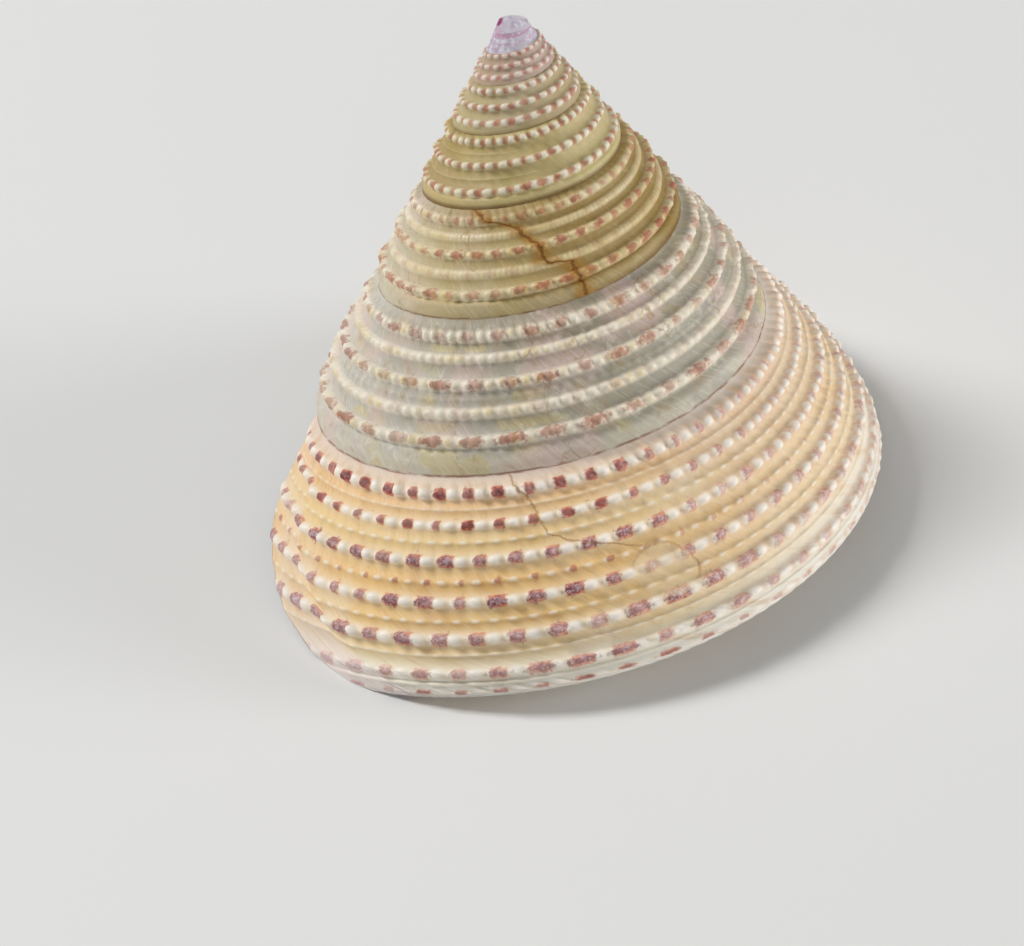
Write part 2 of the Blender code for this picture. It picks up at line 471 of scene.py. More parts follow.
def splitBorder(bm, layers, verts, wanted, placeAt):
    # Cuts a coarse border to meet a finer sheet. wanted gives the points that lie between an edge's ends.
    layer = layers["place"]
    border = dict.fromkeys(edge for vertex in verts for edge in vertex.link_edges if edge.is_boundary)
    toCut = {}
    for edge in border:
        first, second = sorted((end[layer].copy() for end in edge.verts), key=lambda end: (end.x, end.y))
        between = wanted(first, second)
        if between:
            edges, goals = toCut.setdefault(len(between), ([], []))
            edges.append(edge)
            goals += between
    for cuts, (edges, goals) in toCut.items():
        parts = bmesh.ops.subdivide_edges(bm, edges=edges, cuts=cuts)["geom_inner"]
        made = [part for part in parts if isinstance(part, bmesh.types.BMVert)]
        made.sort(key=lambda vertex: (round(vertex[layer].x, 5), vertex[layer].y))
        for vertex, (column, row) in zip(made, sorted(goals)):
            vertex[layer] = (column, row, vertex[layer].z)
            vertex.co, vertex[layers["relief"]] = placeAt(column, row)


def finerSide(zone):            # what a side sheet's borders lack beside the next, finer zone
    def wanted(first, second):
        end = mesh["zones"][zone + 1]
        if first.x == second.x and abs(first.x - end) < mesh["weld"] and zone < 3:
            return [(end, row) for row in zoneRows[zone + 1] if first.y + 1e-4 < row < second.y - 1e-4]
        above = first.x + 1 - mesh["slant"]
        if zone < 2 and first.y == second.y == lastCord and above > end - mesh["weld"]:
            return [((first.x + second.x) / 2, lastCord)]
        return []
    return wanted


def finerEdge(first, second):
    return [((first.x + second.x) / 2, 1)] if first.y == second.y == 1 else []


def closeEnds(bm):              # the nucleus, and the hollow's inner end
    openEdges = [edge for edge in bm.edges if edge.is_boundary]
    caps = bmesh.ops.holes_fill(bm, edges=openEdges)["faces"]
    centres = bmesh.ops.poke(bm, faces=caps)["verts"]
    tip = max(centres, key=lambda vertex: vertex.co.z)
    tip.co = Vector((0, 0, -coil["wornTip"] * 1.3))


def creaseSeams(bm, layer):     # a crisp line where whorls meet, and at the lip
    for edge in bm.edges:
        first, second = (end[layer] for end in edge.verts)
        onSeam = first.z == onSide and first.y == second.y and first.y in (0, lastCord)
        if edge.is_boundary and onSeam and min(first.x, second.x) < innerEdge + 1 - mesh["slant"]:
            edge.smooth = first.y == lastCord and first.x > innerEdge + 0.05


def growShell(bm, layers):
    zones = mesh["zones"]
    for zone, perTurn in enumerate(mesh["columns"]):
        steps = range(round(zones[zone] * perTurn), round(zones[zone + 1] * perTurn) + 1)
        columns = [step / perTurn for step in steps]
        verts = addSheet(bm, layers, columns, zoneRows[zone], onSide, sidePoint)
        splitBorder(bm, layers, verts, finerSide(zone), sidePoint)
    perTurn = mesh["baseColumns"]
    steps = range(round(innerEdge * perTurn), round(zones[-1] * perTurn) + 1)
    verts = addSheet(bm, layers, [step / perTurn for step in steps], baseShares, onBase, basePoint)
    splitBorder(bm, layers, verts, finerEdge, basePoint)
    creaseSeams(bm, layers["place"])
    addSheet(bm, layers, hollowStarts, list(range(len(ring))), onHollow, hollowPoint)


# Strips of the baked colour map: columns from and to, left, bottom, width and height
strips = (
    (7.25, 7.72, 0.0, 0.0, 1.0, 0.24),
    (7.72, 8.18, 0.0, 0.24, 1.0, 0.24),
    (6.25, 7.25, 0.0, 0.48, 1.0, 0.19),
    (5.25, 6.25, 0.0, 0.67, 1.0, 0.11),
    (4.25, 5.25, 0.0, 0.78, 0.62, 0.07),
    (3.25, 4.25, 0.62, 0.78, 0.38, 0.07),
    (1.25, 3.25, 0.62, 0.95, 0.38, 0.05),
)
baseStrip = (7.25, 8.18, 0.0, 0.85, 1.0, 0.10)
hollowStrip = (-1.2, 0, 0.0, 0.95, 0.60, 0.05)
stripGap = 0.004


def inStrip(strip, column, share):
    low, high, left, bottom, width, height = strip
    x = left + stripGap + (width - 2 * stripGap) * (column - low) / (high - low)
    return x, bottom + stripGap + (height - 2 * stripGap) * share


def mapsAt(spot, relief):       # a point's places on the painting maps, and its share of a baked strip
    column, row, kind = spot
    if kind == onHollow:
        share = row / (len(ring) - 1)
        return (column, 3 + share), (40, 0), (0, 0), share
    facts = columnFacts(column)
    if kind == onBase:
        cordAt = (baseCords["first"] - row) / baseCords["step"]
        return (column, 2 - row), (20 + cordAt, facts["phase"]), (facts["spotPhase"], relief), row
    across = acrossAt(column, row)
    moved = leaned(facts, round(row), across)
    phase = facts["phase"] + facts["beadCount"] * moved
    spotAt = facts["spotPhase"] + facts["spotCount"] * moved
    return (column, across), (row, phase), (spotAt, relief), across


def addMaps(bm, layers):
    growth = bm.loops.layers.uv.new("growth")   # column, and share across: base from 1, hollow from 3
    cords = bm.loops.layers.uv.new("cords")     # cord coordinate, and bead count
    spots = bm.loops.layers.uv.new("spots")     # spot count, and height on the bead
    bake = bm.loops.layers.uv.new("OFBake")
    maps = {vertex: mapsAt(vertex[layers["place"]], vertex[layers["relief"]]) for vertex in bm.verts}
    for face in bm.faces:
        places = [vertex[layers["place"]] for vertex in face.verts]
        middle = sum(spot.x for spot in places) / len(places)
        strip = {onBase: baseStrip, onHollow: hollowStrip}.get(round(places[0].z))
        strip = strip or next((entry for entry in strips if entry[0] <= middle < entry[1]), strips[-1])
        for loop, spot in zip(face.loops, places):
            loop[growth].uv, loop[cords].uv, loop[spots].uv, share = maps[loop.vert]
            loop[bake].uv = inStrip(strip, spot.x, share)


def layDown(bm):                # leans the axis, and brings the tip to the CAD shell's own tip
    across = Vector((-math.sin(coil["leanTo"]), math.cos(coil["leanTo"]), 0))
    lean = Matrix.Rotation(coil["lean"], 3, across)
    bmesh.ops.rotate(bm, verts=bm.verts, matrix=lean)
    cadTip = max((vertex.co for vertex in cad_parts["shell"].data.vertices), key=lambda co: co.z)
    radius, depth = freshSpiral(coil["tipTurn"])
    ownTip = lean @ Vector((0, 0, coil["tipRise"] * radius - depth))
    bmesh.ops.translate(bm, verts=bm.verts, vec=cadTip - ownTip)


def makeShell():
    bm = bmesh.new()
    layers = {
        "place": bm.verts.layers.float_vector.new("place"),     # column, row and sheet
        "relief": bm.verts.layers.float.new("relief"),
    }
    growShell(bm, layers)
    print("sheets grown:", len(bm.verts), "points")
    addMaps(bm, layers)
    print("maps laid")
    bmesh.ops.remove_doubles(bm, verts=bm.verts, dist=mesh["weld"])
    closeEnds(bm)
    bmesh.ops.recalc_face_normals(bm, faces=bm.faces)
    layDown(bm)
    openEdges = sum(1 for edge in bm.edges if len(edge.link_faces) != 2)
    triangles = sum(len(face.verts) - 2 for face in bm.faces)
    print("shell closed:", openEdges, "open edges,", triangles, "triangles")
    bm.verts.layers.float_vector.remove(layers["place"])
    bm.verts.layers.float.remove(bm.verts.layers.float["relief"])
    data = bpy.data.meshes.new("topShell")
    bm.to_mesh(data)
    bm.free()
    data.shade_smooth()
    shell = bpy.data.objects.new("topShell", data)
    bpy.context.scene.collection.objects.link(shell)
    return shell


shell = makeShell()
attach(shell, "root")
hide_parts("shell")


class Wire:                     # a socket that Python's operators build Math nodes on
    def __init__(self, tree, socket=None):
        self.tree = tree
        self.socket = socket

    def make(self, kind, settings, values, output=0):
        node = self.tree.nodes.new("ShaderNode" + kind)
        for name, value in settings.items():
            if name == "stops":
                self.setStops(node.color_ramp, value)
            elif name == "interpolation":
                node.color_ramp.interpolation = value
            else:
                setattr(node, name, value)
        for key, value in values.items():
            if isinstance(value, Wire):
                self.tree.links.new(value.socket, node.inputs[key])
            else:
                node.inputs[key].default_value = value
        return Wire(self.tree, node.outputs[output])

    def setStops(self, ramp, stops):
        while len(ramp.elements) < len(stops):
            ramp.elements.new(1)
        for element, (position, colour) in zip(ramp.elements, stops):
            element.position = position
            element.color = colour

    def math(self, operation, *others):
        values = dict(enumerate((self,) + others))
        return self.make("Math", {"operation": operation}, values)

    def __add__(self, other):
        return self.math("ADD", other)

    def __radd__(self, other):
        return self.math("ADD", other)

    def __sub__(self, other):
        return self.math("SUBTRACT", other)

    def __rsub__(self, other):
        return self.make("Math", {"operation": "SUBTRACT"}, {0: other, 1: self})

    def __mul__(self, other):
        return self.math("MULTIPLY", other)

    def __rmul__(self, other):
        return self.math("MULTIPLY", other)

    def __truediv__(self, other):
        return self.math("DIVIDE", other)

    def __pow__(self, other):
        return self.math("POWER", other)


def rgb(red, green, blue):      # a colour given in sRGB, from 0 to 255
    shares = [value / 255 for value in (red, green, blue)]
    return tuple(s / 12.92 if s <= 0.04045 else ((s + 0.055) / 1.055) ** 2.4 for s in shares) + (1,)


def grey(share):
    return share, share, share, 1


def smooth(value, low, high):   # 0 at low and 1 at high
    settings = {"interpolation_type": "SMOOTHSTEP"}
    return value.make("MapRange", settings, {"Value": value, "From Min": low, "From Max": high})


def bump(value, centre, half):  # 1 at the centre, falling to 0 at half on both sides
    return smooth((value - centre).math("ABSOLUTE"), half, half * 0.4)


def overRange(value, stops):    # a colour ramp whose stops are at given values
    low, high = stops[0][0], stops[-1][0]
    table = [((at - low) / (high - low), colour) for at, colour in stops]
    return value.make("ValToRGB", {"stops": table}, {"Fac": (value - low) / (high - low)})


def ramp(value, name):          # colours at given values
    return overRange(value, [(at, rgb(*colour)) for at, colour in paint[name]])


def graph(value, points):       # a number that follows straight runs between given points
    return overRange(value, [(at, grey(share)) for at, share in points])


def perCord(cord, shares, other=0):     # a number for each cord, 0 to 1
    stops = [(max(0, (index - 0.5) / 16), grey(shares.get(index, other))) for index in range(16)]
    return cord.make("ValToRGB", {"stops": stops, "interpolation": "CONSTANT"}, {"Fac": cord / 16})


def blend(under, over, mask, how="MIX"):    # a colour may be given by its name in paint
    under, over = (rgb(*paint[tone]) if isinstance(tone, str) else tone for tone in (under, over))
    return mask.make("Mix", {"data_type": "RGBA", "blend_type": how}, {0: mask, 6: under, 7: over}, 2)


def noiseAt(point, scale, detail=2, roughness=0.5):
    values = {"Vector": point, "Scale": scale, "Detail": detail, "Roughness": roughness}
    return point.make("TexNoise", {}, values)


def patchy(point, scale, detail, low, high):    # soft patches
    return smooth(noiseAt(point, scale, detail), low, high)


def join(x, y, z=0.0):
    return x.make("CombineXYZ", {}, {"X": x, "Y": y, "Z": z})


def dice(x, y):                 # a random number for each pair of counts
    return x.make("TexWhiteNoise", {"noise_dimensions": "2D"}, {"Vector": join(x, y)})


def distance(x, y):
    return (x ** 2 + y ** 2) ** 0.5


# Colours in sRGB, 0 to 255. The first six lists run with the turn, or down the body whorl's side.
paint = {
    "spire": (
        (2.6, (192, 174, 170)), (3.0, (182, 156, 136)), (3.5, (176, 154, 120)), (4.0, (178, 162, 118)),
        (4.5, (186, 172, 122)), (5.0, (199, 183, 126)), (5.6, (156, 134, 76)), (5.85, (154, 132, 72)),
        (6.0, (186, 168, 122)), (6.2, (199, 188, 160)), (6.6, (160, 155, 138)), (7.0, (168, 163, 146)),
        (7.25, (202, 198, 186)), (7.6, (222, 208, 180))),
    "nearLip": (
        (0, (222, 204, 190)), (0.05, (234, 210, 182)), (0.12, (236, 196, 144)),
        (0.3, (238, 208, 150)), (0.48, (238, 197, 132)), (0.66, (235, 199, 136)),
        (0.8, (232, 207, 158)), (0.9, (232, 227, 207)), (1, (236, 234, 227))),
    "farSide": (
        (0, (218, 206, 194)), (0.1, (227, 202, 170)), (0.4, (233, 205, 163)), (0.7, (236, 212, 174)),
        (0.85, (240, 231, 214)), (1, (238, 237, 232))),
    "seam": ((3, (150, 120, 95)), (5, (104, 74, 30)), (6.4, (116, 88, 48)), (8.2, (138, 70, 50))),
    "beads": (
        (3, (234, 218, 206)), (4, (238, 230, 212)), (5.4, (236, 230, 208)), (6.2, (240, 231, 205)),
        (7.1, (239, 232, 212)), (7.6, (248, 240, 228)), (8.2, (252, 244, 232))),
    "spots": (
        (3, (192, 128, 116)), (4, (184, 118, 96)), (5.4, (178, 112, 86)), (6, (172, 96, 68)),
        (6.5, (180, 112, 86)), (7.0, (166, 88, 64)), (7.25, (150, 66, 48)), (7.6, (160, 84, 74)),
        (8.2, (156, 40, 20))),
    # The ground between the cords
    "streaks": (206, 156, 84), "clouds": (240, 232, 218), "olive": (140, 112, 48),
    "lowBand": (186, 176, 148), "paleBand": (210, 203, 184), "upperShade": (146, 132, 104),
    "yellowPatch": (204, 188, 132), "greyPatch": (148, 144, 136), "pinkPatch": (220, 190, 182),
    # The last colour on the next line is painted shade, just above the seams
    "darkGrain": (168, 142, 96), "paleGrain": (244, 236, 220), "aboveSeam": (108, 78, 24),
    # Cords and spots
    "oldRidge": (214, 196, 158), "ridge": (246, 234, 214), "orangeRidge": (206, 142, 92),
    "thread": (246, 234, 212), "paleLine": (248, 240, 226), "darkLine": (160, 120, 76),
    "beadStain": (226, 206, 146), "glow": (214, 96, 46), "yellowed": (244, 235, 202),
    "purple": (124, 78, 98), "spotHeart": (84, 12, 10), "spotEnd": (96, 28, 34),
    # The pale top of a spot, on the next line, is partly a painted highlight
    "farSpot": (196, 130, 118), "spotTop": (214, 198, 210), "granules": (222, 204, 206),
    "wornSpot": (212, 174, 146),
    # Cracks and the chip scar
    "hairline": (176, 138, 64), "crackStain": (148, 114, 48), "crackEdge": (168, 120, 34),
    "crack": (126, 76, 12), "scarLine": (186, 138, 84), "chip": (236, 216, 178),
    "chipEdge": (206, 166, 116),
    # The lip and the apex
    "lip": (238, 226, 218), "lipLine": (222, 202, 206), "nacre": (202, 194, 206),
    "nacrePink": (198, 156, 184), "nacreGrey": (160, 142, 168), "nacreSpark": (240, 238, 246),
    "notch": (150, 24, 110),
    # The base and the hollow
    "base": (232, 214, 182), "paleBase": (240, 232, 214), "baseCord": (250, 244, 230),
    "baseSpot": (186, 112, 84), "pearl": (226, 222, 214), "pearlPink": (222, 204, 208),
    "pearlGreen": (206, 222, 212),
    # The finish, and the grooves' depth in metres
    "roughness": 0.56, "specular": 0.38, "grooveStrength": 0.85, "grooveDepth": 0.000032,
}

# Where the painting changes along the coil: from the turn where it starts to where it is full
stages = {
    "apex": (2.72, 2.5),
    "fifthWhorl": (5.9, 6.5),
    "bodyWhorl": (7.35, 7.6),
    "farSide": (8.0, 7.85),     # the body whorl's side away from the lip
    "nearLip": (7.84, 8.02),
}

# The grain of each noise: its scale, detail and roughness
grains = {"coarse": (260, 3), "fine": (2200, 3), "speckle": (5400, 2), "grain": (1300, 4, 0.7)}

# What differs from cord to cord. A pair is for the spire and for the body whorl.
onCords = {
    "beads": ({1: 1, 3: 0.5, 5: 1, 7: 0.5, 9: 1}, {1: 1, 3: 1, 5: 1, 7: 1, 9: 1, 11: 1, 13: 1}),
    "spotLength": ({1: 0.22, 3: 0.16, 5: 0.24, 9: 0.27}, {1: 0.17, 3: 0.15, 6: 0.1, 9: 0.28, 11: 0.25}),
    "otherLength": 0.2,
    "spotHeight": {11: 0.55, 12: 0.7, 13: 0.55, 14: 0.7},
    "otherHeight": 0.77,
    "spots": (
        {1: 0.9, 3: 0.2, 5: 0.95, 7: 0.3, 9: 0.95},
        {1: 1, 3: 0.9, 5: 1, 6: 0.6, 7: 1, 9: 1, 11: 0.8, 13: 0.7}),
    "purple": {1: 0.25, 3: 0.1, 5: 0.85, 7: 0.85, 9: 1, 11: 0.8},
    "shifted": {5: 1, 9: 1},    # cords whose spots are counted from another start
    "dots": {2: 0.35, 4: 1, 6: 1, 8: 1, 10: 0.5},
    "lines": {2: 0.35, 10: 0.5, 12: 0.9, 13: 0.5, 14: 0.8},
}


def readSurface(start):         # what the painting steps share: places, masks from 0 to 1, and noises
    maps = [start.make("UVMap", {"uv_map": name}, {}) for name in ("growth", "cords", "spots")]
    first = [uv.make("SeparateXYZ", {}, {"Vector": uv}) for uv in maps]
    second = [uv.make("SeparateXYZ", {}, {"Vector": uv}, 1) for uv in maps]
    at = SimpleNamespace()
    at.column, at.across = first[0], second[0]
    at.cord, at.phase = first[1], second[1]
    at.spot, at.relief = first[2], second[2]
    at.point = start.make("TexCoord", {}, {}, 3)
    at.turn = at.column + mesh["slant"] * (1 - at.across.math("MINIMUM", 1.0))
    at.nearest = (at.cord + 0.5).math("FLOOR")
    at.off = (at.cord - at.nearest) / cordReach

    at.side = 1 - smooth(at.across, 1.0, 1.002)
    at.base = smooth(at.across, 1.0, 1.002) * smooth(at.across, 2.5, 2.4)
    at.inside = smooth(at.across, 2.4, 2.5)
    at.body = smooth(at.turn, *stages["bodyWhorl"])
    at.farSide = at.body * smooth(at.turn, *stages["farSide"])
    at.fifth = smooth(at.turn, *stages["fifthWhorl"]) * (1 - at.body)
    at.apex = smooth(at.turn, *stages["apex"])

    for name, size in grains.items():
        setattr(at, name, noiseAt(at.point, *size))
    at.streaks = noiseAt(join(at.column * 60, at.across * 2.5), 1, 3)
    at.growthLines = noiseAt(join(at.column * 420, at.across * 6), 1, 2)
    return at


def paintGround(at):
    turn, across, body, fifth, coarse = at.turn, at.across, at.body, at.fifth, at.coarse
    nearLip = smooth(turn + (coarse - 0.5) * 0.12, *stages["nearLip"])
    bodyGround = blend(ramp(across, "farSide"), ramp(across, "nearLip"), nearLip)
    ground = blend(ramp(turn, "spire"), bodyGround, body)
    ground = blend(ground, "streaks", smooth(at.streaks, 0.5, 0.75) * (0.15 + 0.3 * body))
    clouds = smooth(coarse, 0.5, 0.72) * (0.15 + 0.2 * smooth(turn, 5.4, 6.2))
    ground = blend(ground, "clouds", clouds)

    # Olive patches between the cords of the third and fourth whorls, strongest off the cords' tops
    darkPatch = smooth(turn, 4.6, 5.3) * smooth(turn, 6.04, 5.98) * smooth(coarse, 0.3, 0.55)
    ground = blend(ground, "olive", darkPatch * smooth(at.relief, 0.6, 0.1) * 0.5)

    # The band under the last cord, and patches of yellow, grey and pink on the fifth whorl
    lowBand = smooth(across, 0.86, 0.92) * (1 - body) * smooth(turn, 5.9, 6.05)
    lowTone = blend("lowBand", "paleBand", smooth(turn, 6.05, 6.25))
    ground = blend(ground, lowTone, lowBand * 0.65)
    upperShade = smooth(across, 0.5, 0.15) * fifth * smooth(turn, 7.25, 7.1)
    ground = blend(ground, "upperShade", upperShade * 0.5)
    yellow = patchy(at.point, 520, 4, 0.5, 0.62) * fifth * (0.15 + 0.45 * smooth(at.relief, 0.05, 0.5))
    ground = blend(ground, "yellowPatch", yellow)
    greyish = patchy(at.point, 340, 3, 0.5, 0.64) * fifth * smooth(turn, 7.1, 6.9) * 0.6
    ground = blend(ground, "greyPatch", greyish)
    ground = blend(ground, "pinkPatch", patchy(at.point, 380, 2, 0.48, 0.66) * (0.1 + 0.4 * fifth))
    ground = blend(ground, "darkGrain", smooth(at.grain, 0.54, 0.68) * (0.15 + 0.25 * fifth) * at.side)
    ground = blend(ground, "paleGrain", smooth(at.grain, 0.46, 0.32) * (0.1 + 0.2 * fifth) * at.side)

    # Painted shade: darker brown just above the seams of the spire
    aboveSeam = smooth(across + (coarse - 0.5) * 0.06, 0.92, 0.985) * (1 - body)
    aboveSeam = aboveSeam * smooth(turn, 3.6, 4.8) * smooth(turn, 6.05, 5.8)
    return blend(ground, "aboveSeam", aboveSeam * 0.75)


def readBeads(at):              # where the cords, their beads and the ridges that carry them show
    onSpire, onBody = (perCord(at.nearest, shares) for shares in onCords["beads"])
    at.late = smooth(at.turn, 5.4, 5.6)
    early = onSpire.math("GREATER_THAN", 0.9)
    early = early.math("MAXIMUM", onSpire.math("GREATER_THAN", 0.3) * at.late)
    at.shown = blend(early, onBody, smooth(at.turn, 7.3, 7.6))
    finer = perCord(at.nearest, {cord: 1 for cord in beads["fineCords"]})
    finer = finer * at.column.math("GREATER_THAN", beads["fineFrom"])
    finer = finer * at.column.math("LESS_THAN", beads["changes"][3])
    at.beadPlace = (at.phase * (1 + finer)).math("FRACT") - 0.5
    at.beadWobble = (at.fine - 0.5) * 0.6
    reach = distance(at.beadPlace / 0.42, at.off / 0.95) + at.beadWobble
    at.white = smooth(reach, 1.2, 0.35) * at.shown
    at.ridge = smooth(at.off.math("ABSOLUTE") + (at.growthLines - 0.5) * 0.8, 1.35, 0.35) * at.shown


def readSpots(at):              # where the coloured spots between the beads are, and how strong
    shift = perCord(at.nearest, onCords["shifted"]) * (0.33 * at.late + 0.17 * at.body)
    count = at.spot + shift + 0.25 + 0.09 * at.body
    index = count.math("FLOOR")
    pick = dice(index, at.nearest)
    at.pickAgain = dice(index + 7.3, at.nearest)
    other = onCords["otherLength"]
    onSpire, onBody = (perCord(at.nearest, shares, other) for shares in onCords["spotLength"])
    length = blend(onSpire, onBody, at.body) * (0.7 + 0.6 * pick) * (1 - 0.35 * at.farSide)
    height = perCord(at.nearest, onCords["spotHeight"], onCords["otherHeight"])
    at.along = (count.math("FRACT") - 0.5) / length
    shape = (at.along.math("ABSOLUTE") ** 2.3 + (at.off / height).math("ABSOLUTE") ** 2.3) ** 0.43
    at.reach = shape + (at.fine - 0.5) * 1.1 + (at.speckle - 0.5) * 2.0
    onSpire, onBody = (perCord(at.nearest, shares) for shares in onCords["spots"])
    strength = blend(onSpire, onBody, at.body) * smooth(at.pickAgain, -0.25, 0.15)
    strength = strength * (0.65 + 0.35 * pick)
    strength = strength * at.side * (1 - at.apex) * at.shown.math("MAXIMUM", at.body)
    at.strength = strength * (1 - 0.4 * at.farSide)
    at.spotShown = smooth(at.reach, 1.4, 0.6)


def paintCords(at, ground):     # ridges, threads, growth lines and beads
    turn, body, side = at.turn, at.body, at.side
    ridgeTone = blend("oldRidge", "ridge", smooth(turn, 5.2, 6.2))
    ridgeShare = 0.25 + 0.4 * smooth(turn, 5.4, 6.0) + 0.15 * at.fifth
    ground = blend(ground, ridgeTone, at.ridge * ridgeShare)
    ground = blend(ground, "orangeRidge", at.ridge * (1 - at.white) * at.farSide * 0.5)

    # The body whorl's threads are rows of small dots or thin broken lines
    gap = (at.cord - at.nearest).math("ABSOLUTE")
    dotReach = distance(at.beadPlace / 0.27, gap / 0.34) + at.beadWobble
    broken = noiseAt(join(at.column * 200, at.nearest), 1, 2)
    lineReach = gap / 0.2 + (broken - 0.5) * 3.2
    threadWhite = smooth(dotReach, 1.2, 0.4) * perCord(at.nearest, onCords["dots"])
    threadWhite = threadWhite + smooth(lineReach, 1.1, 0.3) * perCord(at.nearest, onCords["lines"])
    threadWhite = threadWhite.math("MINIMUM", 1.0) * body * side
    colour = blend(ground, "thread", threadWhite * 0.75)

    lineStrength = side * (0.08 + 0.1 * smooth(turn, 5.4, 6.2))
    colour = blend(colour, "paleLine", smooth(at.growthLines, 0.5, 0.72) * lineStrength)
    colour = blend(colour, "darkLine", smooth(at.growthLines, 0.46, 0.3) * lineStrength * 0.5)

    stained = patchy(at.point, 640, 3, 0.46, 0.62) * smooth(turn, 5.2, 5.9) * (1 - body) * 0.75
    beadTone = blend(ramp(turn, "beads"), "beadStain", stained)
    wear = bump(turn, 5.81, 0.22) * 0.5 + bump(turn, 6.75, 0.3) * 0.5
    beadFade = 1 - wear * smooth(at.coarse, 0.3, 0.5)
    return blend(colour, beadTone, at.white * 0.9 * side * (1 - at.apex) * beadFade)


def paintSpots(at, colour):
    turn, body, fifth, along = at.turn, at.body, at.fifth, at.along
    # An orange glow above and below each spot of the body whorl, and a yellow tint on the old whorls
    ends = smooth(along.math("ABSOLUTE") + (at.speckle - 0.5) * 0.6, 1.1, 0.7)
    glow = smooth(at.reach, 2.0, 1.3) * smooth(at.off.math("ABSOLUTE"), 1.05, 0.9) * ends * at.strength
    glow = glow * body * (0.35 + 0.65 * smooth(turn, 7.75, 8.05))
    colour = blend(colour, "glow", glow * 0.75)
    yellowed = smooth(turn, 4.9, 5.5) * smooth(turn, 6.25, 6.1)
    yellowed = yellowed * (0.5 + 0.5 * smooth(at.coarse, 0.35, 0.6)) * at.side
    colour = blend(colour, "yellowed", yellowed, "MULTIPLY")

    purple = body * perCord(at.nearest, onCords["purple"])
    purple = purple.math("MAXIMUM", body * smooth(turn, 8.02, 7.9) * 0.75)
    tone = blend(ramp(turn, "spots"), "purple", purple * 0.8)
    heart = smooth(at.reach, 0.8, 0.25) * smooth(turn, 7.85, 8.08) * (1 - purple * 0.75)
    tone = blend(tone, "spotHeart", heart)
    darkEnd = smooth(along + (at.speckle - 0.5), 0.2, 0.7)
    tone = blend(tone, "spotEnd", darkEnd * purple * smooth(turn, 7.85, 8.05) * 0.8)
    tone = blend(tone, "farSpot", at.farSide * 0.6)

    # White grains, thickest on top of the spots, where a pale mottle set off the spot's centre is partly
    # a painted highlight
    mottle = smooth(at.speckle, 0.44, 0.56)
    paleAndHighlightReach = distance((along + 0.25) / 0.75, (at.off + 0.1) / 0.75) + (at.speckle - 0.5) * 1.6
    paleTopAndHighlight = smooth(paleAndHighlightReach, 1.0, 0.4) * purple * (0.4 + 0.6 * at.pickAgain) * (1 - 0.6 * at.farSide)
    tone = blend(tone, "spotTop", paleTopAndHighlight * (0.25 + 0.7 * mottle))
    tone = blend(tone, "granules", patchy(at.point, 9500, 1, 0.52, 0.64) * purple * 0.7)
    tone = blend(tone, "wornSpot", mottle * fifth * smooth(turn, 7.1, 6.9) * 0.35)
    return blend(colour, tone, at.spotShown * at.strength * (0.95 - 0.15 * fifth))


def paintSeams(at, colour):
    seam = smooth(at.across, 0.986, 0.994) * (1 - smooth(at.turn, 7.28, 7.3))
    seam = seam + smooth(at.across, 0.008, 0.002)
    seam = seam * smooth(at.streaks + 0.25 * at.fine, 0.46, 0.7)
    return blend(colour, ramp(at.turn, "seam"), seam.math("MINIMUM", 1.0) * 0.75 * at.side)


# Where the old cracks run. A path goes down the side, with shares of its reach in turns.
cracks = {
    "fourthWhorl": {"turn": 5.95, "reach": 0.2, "path": (
        (0, 0.78), (0.12, 0.66), (0.15, 0.55), (0.2, 0.45), (0.29, 0.4), (0.41, 0.3), (0.56, 0.3),
        (0.61, 0.25), (0.64, 0.15), (0.78, 0.1), (1, 0.1))},
    "bodyWhorl": {"turn": 7.95, "reach": 0.1, "path": (
        (0, 1), (0.2, 0.82), (0.3, 0.72), (0.36, 0.55), (0.42, 0.34), (0.47, 0.2), (1, 0.2))},
    "chip": {"turn": 7.967, "across": 0.61, "length": 0.015, "height": 0.13},
}


def crackGap(at, crack, wobble):    # how far a point is from a crack, in turns
    path = graph(at.across, crack["path"])
    return (at.turn - crack["turn"] - crack["reach"] * path + wobble).math("ABSOLUTE")


def paintCracks(at, colour):
    turn, across, side = at.turn, at.across, at.side
    # Hairlines on the fifth whorl
    bent = join(noiseAt(at.point, 700, 3) * 0.004, at.fine * 0.0015, at.coarse * 0.003)
    bent = at.point.make("VectorMath", {"operation": "ADD"}, {0: at.point, 1: bent})
    cells = at.point.make("TexVoronoi", {"feature": "DISTANCE_TO_EDGE"}, {"Vector": bent, "Scale": 330})
    hairs = smooth(cells, 0.018, 0.005) * patchy(at.point, 420, 2, 0.5, 0.62)
    at.hairs = hairs * smooth(turn, 5.95, 6.1) * smooth(turn, 7.3, 7.0) * side
    colour = blend(colour, "hairline", at.hairs * 0.45)

    # The stained crack on the fourth whorl
    jagged = (at.grain - 0.5) * 0.03
    gap = crackGap(at, cracks["fourthWhorl"], jagged)
    at.crack = smooth(gap, 0.0034, 0.001) * side
    darkPatch = bump(turn, 6.07, 0.1) * smooth(across, 0.32, 0.08)
    darkPatch = darkPatch * (0.4 + 0.6 * smooth(at.coarse, 0.4, 0.6)) * side
    colour = blend(colour, "crackStain", darkPatch * 0.5)
    colour = blend(colour, "crackEdge", smooth(gap, 0.02, 0.001) * 0.85 * side)
    colour = blend(colour, "crack", at.crack * 0.88)

    # The thin crack on the body whorl, and the oval chip scar that it leads to
    gap = crackGap(at, cracks["bodyWhorl"], jagged * 0.4)
    at.scarLine = smooth(gap, 0.0014, 0.0004) * side * smooth(across, 0.53, 0.4)
    colour = blend(colour, "scarLine", at.scarLine * 0.7)
    chip = cracks["chip"]
    along = turn - chip["turn"]
    reach = distance(along / chip["length"], (across - chip["across"]) / chip["height"]) + jagged * 12
    colour = blend(colour, "chip", smooth(reach, 1.05, 0.9) * side * 0.45)
    at.chipEdge = bump(reach, 1, 0.07) * side * smooth(across + 6 * along, 0.68, 0.56)
    return blend(colour, "chipEdge", at.chipEdge * 0.6)


